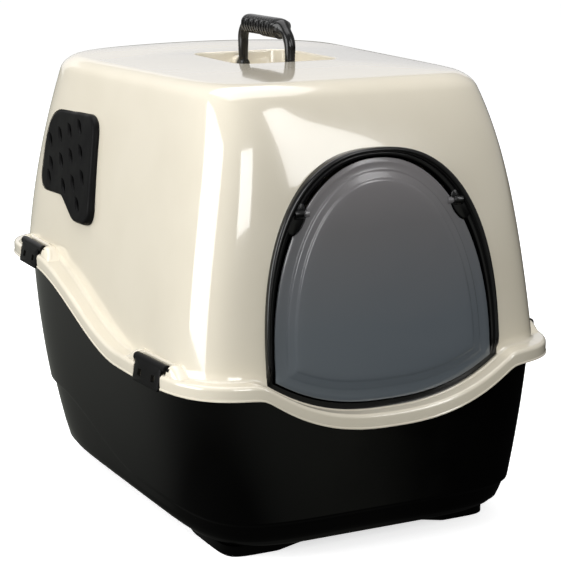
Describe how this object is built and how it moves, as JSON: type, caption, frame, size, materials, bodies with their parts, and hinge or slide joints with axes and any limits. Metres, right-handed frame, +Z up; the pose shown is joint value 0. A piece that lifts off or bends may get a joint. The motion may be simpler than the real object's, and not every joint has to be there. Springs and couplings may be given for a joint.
{
  "type": "covered litter box",
  "caption": "Covered cat litter box: black tray, ivory hood with wavy flange, smoky arched flap, side vents, snap latches and folding top handle.",
  "frame": {"origin": "centre of the footprint, on the floor under the feet", "axes": "+Z up, +Y towards the rear, -Y towards the entrance, +X to the right of someone who stands in front and faces the entrance"},
  "size_m": [0.4162, 0.5, 0.4746],
  "materials": {
    "black_tray": "gloss",
    "ivory_hood": "gloss",
    "black_trim": "gloss",
    "smoke_flap": "gloss",
    "carbon_pad": "matt"
  },
  "bodies": {
    "base": {"base_tray": "black_tray"},
    "hood": {"hood": "ivory_hood", "entrance_frame": "black_trim", "vent_grille_left": "black_trim", "vent_grille_right": "black_trim", "filter_holder_left": "black_trim", "filter_holder_right": "black_trim", "carbon_filter_left": "carbon_pad", "carbon_filter_right": "carbon_pad"},
    "flap": {"flap_door": "smoke_flap"},
    "handle": {"carry_handle": "black_trim"},
    "latch_left_front_body": {"latch_left_front": "black_trim"},
    "latch_left_rear_body": {"latch_left_rear": "black_trim"},
    "latch_right_front_body": {"latch_right_front": "black_trim"},
    "latch_right_rear_body": {"latch_right_rear": "black_trim"}
  },
  "joints": [
    {"name": "hood_lift", "type": "slide", "parent": "base", "child": "hood", "axis": [0, 0, 1], "range_m": [0, 0.3]},
    {"name": "flap_swing", "type": "hinge", "parent": "hood", "child": "flap", "pos_m": [0, -0.21587, 0.32023], "axis": [1, 0, 0], "range_deg": [-80, 80]},
    {"name": "handle_fold", "type": "hinge", "parent": "hood", "child": "handle", "pos_m": [0, 0.0145, 0.423], "axis": [0, 1, 0], "range_deg": [-88, 88]},
    {"name": "latch_left_front_open", "type": "hinge", "parent": "hood", "child": "latch_left_front_body", "pos_m": [-0.19438, -0.148, 0.1832], "axis": [-0.0784, 0.9969, 0], "range_deg": [0, 110]},
    {"name": "latch_left_rear_open", "type": "hinge", "parent": "hood", "child": "latch_left_rear_body", "pos_m": [-0.1995, 0.156, 0.2372], "axis": [0.0016, 1, 0], "range_deg": [0, 110]},
    {"name": "latch_right_front_open", "type": "hinge", "parent": "hood", "child": "latch_right_front_body", "pos_m": [0.19438, -0.148, 0.1832], "axis": [-0.0784, -0.9969, 0], "range_deg": [0, 110]},
    {"name": "latch_right_rear_open", "type": "hinge", "parent": "hood", "child": "latch_right_rear_body", "pos_m": [0.1995, 0.156, 0.2372], "axis": [0.0016, -1, 0], "range_deg": [0, 110]}
  ]
}
